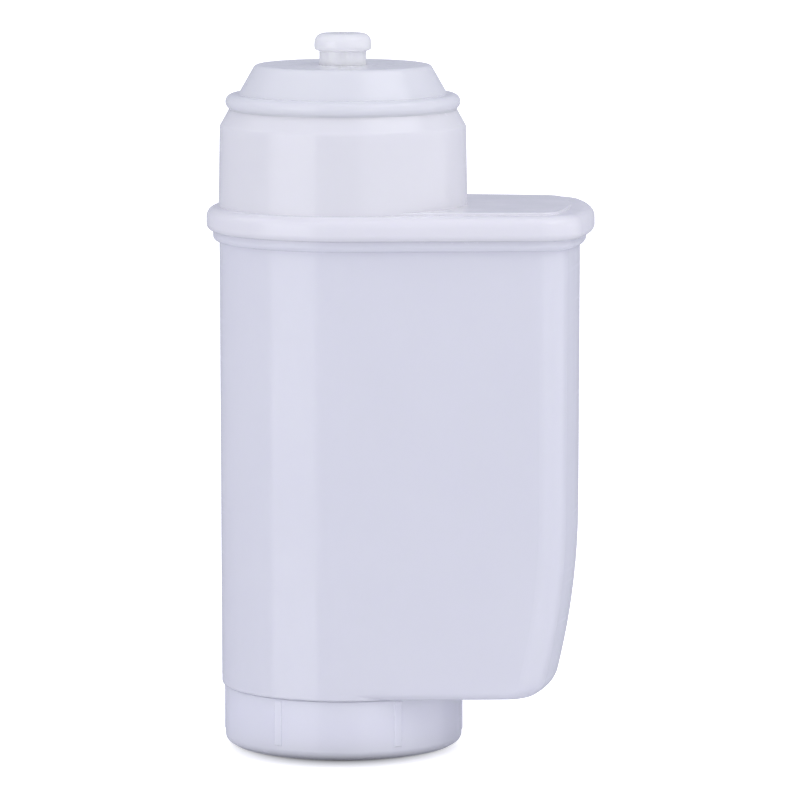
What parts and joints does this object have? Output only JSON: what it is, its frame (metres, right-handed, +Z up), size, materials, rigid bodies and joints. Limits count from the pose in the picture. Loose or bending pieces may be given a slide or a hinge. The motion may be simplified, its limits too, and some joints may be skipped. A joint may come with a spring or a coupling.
{
  "type": "water tank filter cartridge",
  "caption": "White cartridge that softens and filters the water in a coffee machine's tank: round drum with a flat wing, pull knob on top and a turning selector ring at the foot.",
  "frame": {"origin": "centre of the outlet socket's mouth, in the plane that the cartridge stands on", "axes": "+Z up along the drum's axis, +X towards the wing, +Y to the back"},
  "size_m": [0.0695, 0.0488, 0.128],
  "materials": {
    "shell_white": "satin gloss polypropylene, bluish white",
    "ring_white": "satin gloss polypropylene, bluish white",
    "inner_white": "natural polypropylene",
    "seal_rubber": "matt thermoplastic elastomer",
    "fleece": "needled polyester fleece",
    "foam": "open-cell foam",
    "granulate": "ion exchange resin beads with carbon grains",
    "membrane": "microporous film"
  },
  "bodies": {
    "cartridge": {"body_cup": "shell_white", "lid_shell": "shell_white", "top_cap": "shell_white", "pull_knob": "shell_white", "base_foot": "ring_white", "vent_retainer": "inner_white", "vent_membrane": "membrane", "outlet_seal": "seal_rubber", "port_gasket": "seal_rubber", "inlet_grille": "inner_white", "inlet_fleece": "fleece", "partition_wall": "inner_white", "outlet_strainer": "inner_white", "outlet_fleece": "fleece", "drum_media": "granulate", "wing_media": "granulate", "drum_top_fleece": "fleece", "wing_top_fleece": "fleece", "drum_plate": "inner_white", "wing_plate": "inner_white", "bed_pad": "foam"},
    "selector": {"selector_ring": "ring_white", "bypass_shutter": "inner_white"}
  },
  "joints": [
    {"name": "selector_turn", "type": "hinge", "parent": "cartridge", "child": "selector", "pos_m": [0, 0, 0.0065], "axis": [0, 0, 1], "range_deg": [0, 60]}
  ]
}
